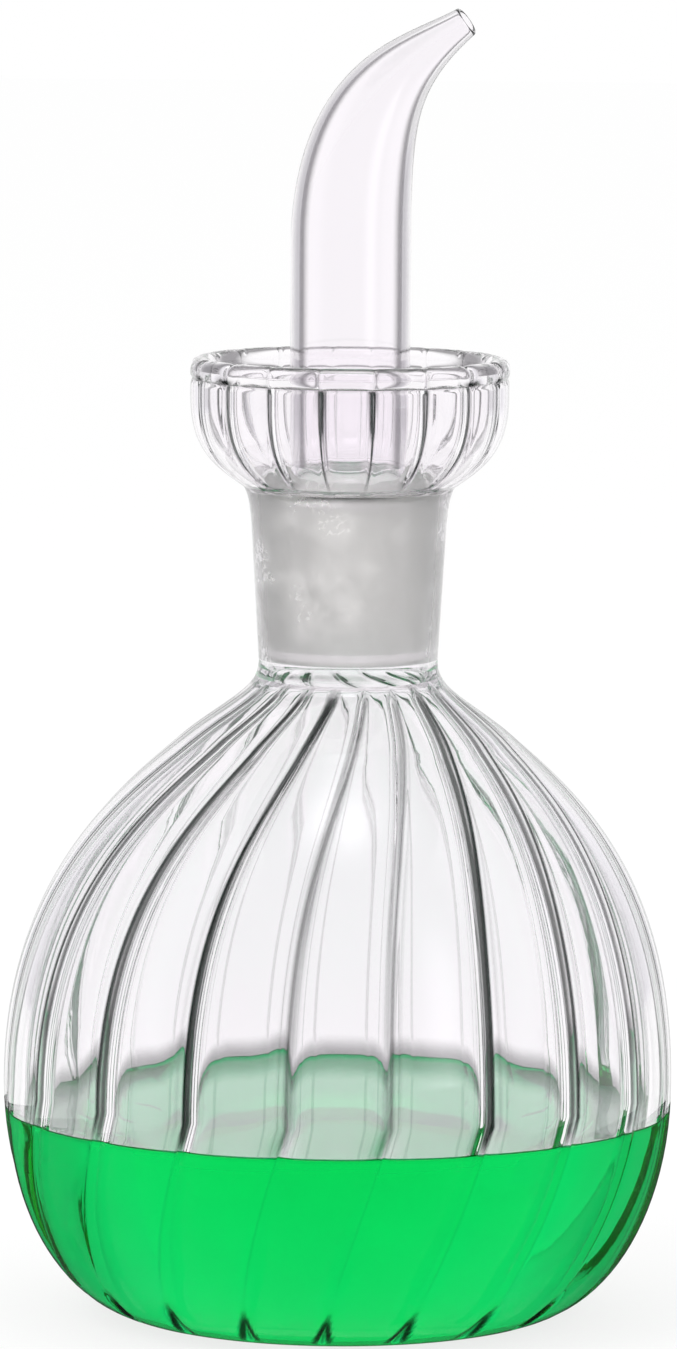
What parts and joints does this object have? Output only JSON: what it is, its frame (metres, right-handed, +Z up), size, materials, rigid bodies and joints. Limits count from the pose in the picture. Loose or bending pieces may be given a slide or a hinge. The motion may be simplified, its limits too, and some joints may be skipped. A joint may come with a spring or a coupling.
{
  "type": "oil cruet",
  "caption": "Fluted glass oil cruet: a round bottle with a ground neck and a drip cup, part filled with green oil and closed by a lift-out horn-shaped pouring spout.",
  "frame": {"origin": "centre of the flat foot that the bottle stands on", "axes": "+Z up along the bottle's axis, +X the way the spout points"},
  "size_m": [0.0996, 0.0996, 0.1946],
  "materials": {
    "clear_glass": "polished clear glass",
    "ground_glass": "ground frosted glass",
    "green_oil": "clear green liquid"
  },
  "bodies": {
    "bottle": {"fluted_body": "clear_glass", "neck_socket": "ground_glass", "drip_cup": "clear_glass", "oil_fill": "green_oil"},
    "pourer_cone": {"ground_cone": "ground_glass"},
    "pourer_horn": {"horn_spout": "clear_glass"}
  },
  "joints": [
    {"name": "pourer_lift", "type": "slide", "parent": "bottle", "child": "pourer_cone", "axis": [0, 0, 1], "range_m": [0, 0.05]},
    {"name": "spout_turn", "type": "hinge", "parent": "pourer_cone", "child": "pourer_horn", "pos_m": [0.0012, 0, 0.1263], "axis": [0, 0, 1], "continuous": true}
  ]
}
